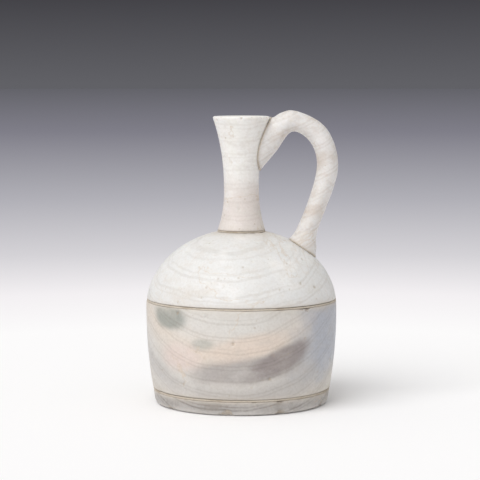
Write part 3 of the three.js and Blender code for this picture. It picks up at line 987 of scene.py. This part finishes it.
cementFinish = cementMaterial()
finishing = [
    (foot, "foot_disc", "foot_stone", stoneMaterial("foot travertine and painted shade", footStoneAndShadeLook)),
    (drum, "drum", "banded_stone", stoneMaterial("banded travertine and painted shade", drumBandsAndShadeLook)),
    (shoulder, "shoulder", "pale_stone", stoneMaterial("shoulder travertine", shoulderLook)),
    (neck, "neck", "pale_stone", stoneMaterial("neck travertine", neckLook)),
    (handle, "handle", "handle_stone", stoneMaterial("handle travertine", handleLook)),
    (footJoint, "foot_cement", "cement", cementFinish),
    (waistJoint, "waist_cement", "cement", cementFinish),
    (neckJoint, "neck_cement", "cement", cementFinish),
    (upperPad, "handle_upper_cement", "cement", cementFinish),
    (lowerPad, "handle_lower_cement", "cement", cementFinish),
]
for piece, nodeName, slotName, finish in finishing:
    piece.data.materials.append(finish)
    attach(piece, "root")
    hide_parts(nodeName)

print("setting up the studio")

studio = {
    "lens": 134.8, "sensor": 36.0, "from": (-0.0008, -1.0, 0.178), "at": (-0.0008, 0.0, 0.0909),
    "floorRadius": 60.0, "skyStrength": 0.605, "sunStrength": 1.82, "sunAngle": 50.0,
    "sunFrom": (-0.55, -0.75, 1.0),
}


# A round floor, white near the jug and greyer far away, a painted pool of light: with distance d, its tone
# follows 1 / (1 + d).
def makeFloor():
    angle = np.linspace(0, 2 * math.pi, 96, endpoint=False)
    rim = np.stack([np.cos(angle), np.sin(angle), np.zeros_like(angle)], axis=1) * studio["floorRadius"]
    mesh = bpy.data.meshes.new("studio_floor")
    mesh.from_pydata(rim.tolist(), [], [list(range(len(angle)))])
    floor = bpy.data.objects.new("studio_floor", mesh)
    bpy.context.scene.collection.objects.link(floor)
    material, tree = newMaterial("floor paper with painted falloff")
    position = tree.nodes.new("ShaderNodeTexCoord").outputs["Object"]
    away = addNode(tree, "VectorMath", {0: position}, operation="LENGTH").outputs["Value"]
    near = calc(tree, "DIVIDE", 1.0, calc(tree, "ADD", away, 1.0))
    paintedFalloffTones = [
        (0.0, (94, 94, 100)), (0.15, (126, 125, 135)), (0.36, (175, 174, 181)), (0.53, (210, 208, 212)),
        (0.65, (240, 237, 239)), (0.76, (249, 248, 248)),
    ]
    colour = fillRamp(tree, near, [(place, shown(*tone)) for place, tone in paintedFalloffTones])
    shader = addNode(tree, "BsdfDiffuse", {"Color": colour})
    target = tree.nodes.new("ShaderNodeOutputMaterial")
    tree.links.new(shader.outputs[0], target.inputs["Surface"])
    mesh.materials.append(material)


# The sky is plain white light; a camera or a reflection sees a grey backdrop that darkens upwards, a painted
# light falloff.
def makeSky():
    world = bpy.data.worlds.new("studio sky")
    bpy.context.scene.world = world
    world.use_nodes = True
    tree = world.node_tree
    tree.nodes.clear()
    direction = tree.nodes.new("ShaderNodeTexCoord").outputs["Generated"]
    height = addNode(tree, "SeparateXYZ", {0: direction}).outputs[2]
    share = addNode(tree, "MapRange", {0: height, 1: 0.0, 2: 0.06, 3: 0.0, 4: 1.0}).outputs[0]
    ramp = fillRamp(tree, share, [(0.0, shown(97, 97, 102)), (1.0, shown(56, 55, 60))])
    seen = addNode(tree, "Background", {"Color": ramp, "Strength": 1.0})
    light = addNode(tree, "Background", {"Color": (1, 1, 1, 1), "Strength": studio["skyStrength"]})
    path = tree.nodes.new("ShaderNodeLightPath").outputs
    shader = addNode(tree, "MixShader", {0: path["Is Camera Ray"], 1: light.outputs[0], 2: seen.outputs[0]})
    target = tree.nodes.new("ShaderNodeOutputWorld")
    tree.links.new(shader.outputs[0], target.inputs["Surface"])


def makeSun():
    lamp = bpy.data.lights.new("soft key", "SUN")
    lamp.energy = studio["sunStrength"]
    lamp.angle = math.radians(studio["sunAngle"])
    sun = bpy.data.objects.new("soft key", lamp)
    sun.rotation_euler = Vector(studio["sunFrom"]).to_track_quat("Z", "Y").to_euler()
    bpy.context.scene.collection.objects.link(sun)


def makeCamera():
    lens = bpy.data.cameras.new("camera")
    lens.lens = studio["lens"]
    lens.sensor_width = studio["sensor"]
    lens.clip_start = 0.05
    lens.clip_end = 4 * studio["floorRadius"]
    camera = bpy.data.objects.new("camera", lens)
    camera.location = studio["from"]
    view = Vector(studio["at"]) - Vector(studio["from"])
    camera.rotation_euler = view.to_track_quat("-Z", "Y").to_euler()
    bpy.context.scene.collection.objects.link(camera)
    bpy.context.scene.camera = camera


makeFloor()
makeSky()
makeSun()
makeCamera()
bpy.context.scene.view_settings.view_transform = "Standard"
